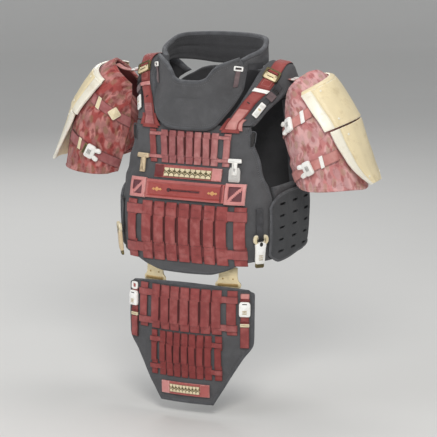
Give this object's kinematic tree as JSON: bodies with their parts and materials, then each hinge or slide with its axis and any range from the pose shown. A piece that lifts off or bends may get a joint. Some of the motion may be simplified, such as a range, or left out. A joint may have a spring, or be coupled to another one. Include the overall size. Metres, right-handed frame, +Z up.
{
  "type": "modular armour vest set",
  "caption": "Padded modular armour vest with stand-up collar, throat guard, rows of red webbing, hanging apron panel and plated upper-arm protectors.",
  "frame": {"origin": "midway between the shoulders at the height where the yokes bear on them", "axes": "+X to the wearer's left, -Y forward out of the chest, +Z up"},
  "size_m": [0.895, 0.3211, 0.9],
  "materials": {
    "adjuster_tab_L": "off-white moulded",
    "adjuster_tab_R": "off-white moulded",
    "apron": "dark grey woven nylon",
    "apron_buckle_L": "off-white moulded",
    "apron_buckle_R": "off-white moulded",
    "apron_clip_L": "pale gold satin",
    "apron_clip_R": "pale gold satin",
    "apron_lacing": "cream moulded",
    "apron_lower_row": "red flat webbing",
    "apron_strap_L": "red flat webbing",
    "apron_strap_R": "red flat webbing",
    "apron_strip": "red moulded, satin",
    "apron_upper_row": "red flat webbing",
    "arm_buckle_lower_L": "off-white moulded",
    "arm_buckle_lower_R": "off-white moulded",
    "arm_buckle_upper_L": "off-white moulded",
    "arm_buckle_upper_R": "off-white moulded",
    "arm_link_L": "pale red webbing",
    "arm_link_R": "pale red webbing",
    "arm_sleeve_L": "red printed cloth",
    "arm_sleeve_R": "red printed cloth",
    "arm_strap_lower_L": "red flat webbing",
    "arm_strap_lower_R": "red flat webbing",
    "arm_strap_upper_L": "red flat webbing",
    "arm_strap_upper_R": "red flat webbing",
    "back_carrier": "dark grey woven nylon",
    "bar_end_L": "pale red moulded, satin",
    "bar_end_R": "pale red moulded, satin",
    "chest_bar": "red moulded, satin",
    "chest_clip_L": "cream moulded",
    "chest_clip_R": "cream moulded",
    "chest_lacing": "cream moulded",
    "chest_row": "red flat webbing",
    "chest_strip": "red moulded, satin",
    "collar": "dark grey woven nylon",
    "front_carrier": "dark grey woven nylon",
    "guard_tie_L": "dark grey webbing",
    "guard_tie_R": "dark grey webbing",
    "lower_plate_L": "cream satin coat on pressed steel",
    "lower_plate_R": "cream satin coat on pressed steel",
    "shoulder_buckle_L": "pale gold satin",
    "shoulder_buckle_R": "pale gold satin",
    "shoulder_strap_L": "red flat webbing",
    "shoulder_strap_R": "red flat webbing",
    "shoulder_yoke_L": "dark grey woven nylon",
    "shoulder_yoke_R": "dark grey woven nylon",
    "side_band_L": "dark grey woven nylon",
    "side_band_R": "dark grey woven nylon",
    "side_panel_L": "dark grey woven nylon",
    "side_panel_R": "dark grey woven nylon",
    "tab_strap_L": "dark grey webbing",
    "tab_strap_R": "dark grey webbing",
    "throat_guard": "dark grey woven nylon",
    "upper_plate_L": "cream satin coat on pressed steel",
    "upper_plate_R": "cream satin coat on pressed steel",
    "waist_buckle_L": "off-white moulded",
    "waist_buckle_R": "off-white moulded",
    "waist_buckle_strap_L": "dark grey webbing",
    "waist_buckle_strap_R": "dark grey webbing",
    "waist_row": "red flat webbing"
  },
  "bodies": {
    "root": {"adjuster_tab_L": "adjuster_tab_L", "adjuster_tab_R": "adjuster_tab_R", "apron": "apron", "apron_buckle_L": "apron_buckle_L", "apron_buckle_R": "apron_buckle_R", "apron_clip_L": "apron_clip_L", "apron_clip_R": "apron_clip_R", "apron_lacing": "apron_lacing", "apron_lower_row": "apron_lower_row", "apron_strap_L": "apron_strap_L", "apron_strap_R": "apron_strap_R", "apron_strip": "apron_strip", "apron_upper_row": "apron_upper_row", "arm_buckle_lower_L": "arm_buckle_lower_L", "arm_buckle_lower_R": "arm_buckle_lower_R", "arm_buckle_upper_L": "arm_buckle_upper_L", "arm_buckle_upper_R": "arm_buckle_upper_R", "arm_link_L": "arm_link_L", "arm_link_R": "arm_link_R", "arm_sleeve_L": "arm_sleeve_L", "arm_sleeve_R": "arm_sleeve_R", "arm_strap_lower_L": "arm_strap_lower_L", "arm_strap_lower_R": "arm_strap_lower_R", "arm_strap_upper_L": "arm_strap_upper_L", "arm_strap_upper_R": "arm_strap_upper_R", "back_carrier": "back_carrier", "bar_end_L": "bar_end_L", "bar_end_R": "bar_end_R", "chest_bar": "chest_bar", "chest_clip_L": "chest_clip_L", "chest_clip_R": "chest_clip_R", "chest_lacing": "chest_lacing", "chest_row": "chest_row", "chest_strip": "chest_strip", "collar": "collar", "front_carrier": "front_carrier", "guard_tie_L": "guard_tie_L", "guard_tie_R": "guard_tie_R", "lower_plate_L": "lower_plate_L", "lower_plate_R": "lower_plate_R", "shoulder_buckle_L": "shoulder_buckle_L", "shoulder_buckle_R": "shoulder_buckle_R", "shoulder_strap_L": "shoulder_strap_L", "shoulder_strap_R": "shoulder_strap_R", "shoulder_yoke_L": "shoulder_yoke_L", "shoulder_yoke_R": "shoulder_yoke_R", "side_band_L": "side_band_L", "side_band_R": "side_band_R", "side_panel_L": "side_panel_L", "side_panel_R": "side_panel_R", "tab_strap_L": "tab_strap_L", "tab_strap_R": "tab_strap_R", "throat_guard": "throat_guard", "upper_plate_L": "upper_plate_L", "upper_plate_R": "upper_plate_R", "waist_buckle_L": "waist_buckle_L", "waist_buckle_R": "waist_buckle_R", "waist_buckle_strap_L": "waist_buckle_strap_L", "waist_buckle_strap_R": "waist_buckle_strap_R", "waist_row": "waist_row"}
  },
  "joints": []
}
